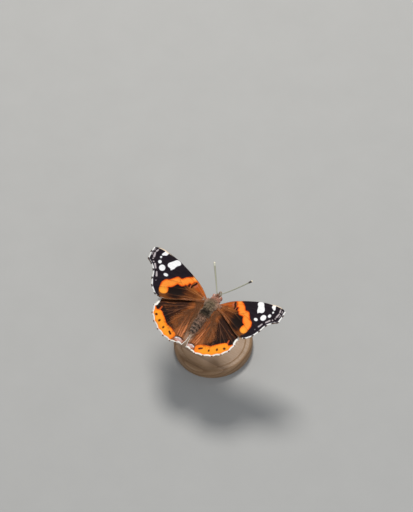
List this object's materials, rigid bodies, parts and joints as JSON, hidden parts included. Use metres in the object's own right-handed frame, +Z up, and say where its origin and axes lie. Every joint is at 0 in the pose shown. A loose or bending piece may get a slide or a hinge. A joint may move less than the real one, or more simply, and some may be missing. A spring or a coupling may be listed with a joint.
{
  "type": "red admiral butterfly on a display stand",
  "caption": "Life-size red admiral butterfly in flight pose, dark brown wings with orange bands and white spots, held on a small round wooden stand by a steel rod",
  "frame": {"origin": "middle of the flat underside of the stand base, on the surface it rests on", "axes": "+X to the insect's left, -Y towards its head, +Z up"},
  "size_m": [0.0622, 0.039, 0.038],
  "materials": {
    "body_hair": "soft grey-brown hair and scales",
    "wing_scales": "matt dusty scales, dark brown with orange bands and white spots, slight sheen",
    "compound_eye": "glossy dark red-brown, finely faceted",
    "chitin": "satin, ringed grey-brown",
    "pale_wood": "satin clear coat over pale wood",
    "steel": "brushed"
  },
  "bodies": {
    "root": {"head": "body_hair", "thorax": "body_hair", "abdomen": "body_hair", "palp_left": "body_hair", "palp_right": "body_hair", "eye_left": "compound_eye", "eye_right": "compound_eye", "antenna_left": "chitin", "antenna_right": "chitin", "proboscis": "chitin", "leg_fore_left": "chitin", "leg_fore_right": "chitin", "leg_mid_left": "chitin", "leg_mid_right": "chitin", "leg_hind_left": "chitin", "leg_hind_right": "chitin", "forewing_left": "wing_scales", "forewing_right": "wing_scales", "hindwing_left": "wing_scales", "hindwing_right": "wing_scales", "stand_base": "pale_wood", "stand_rod": "steel"}
  },
  "joints": []
}
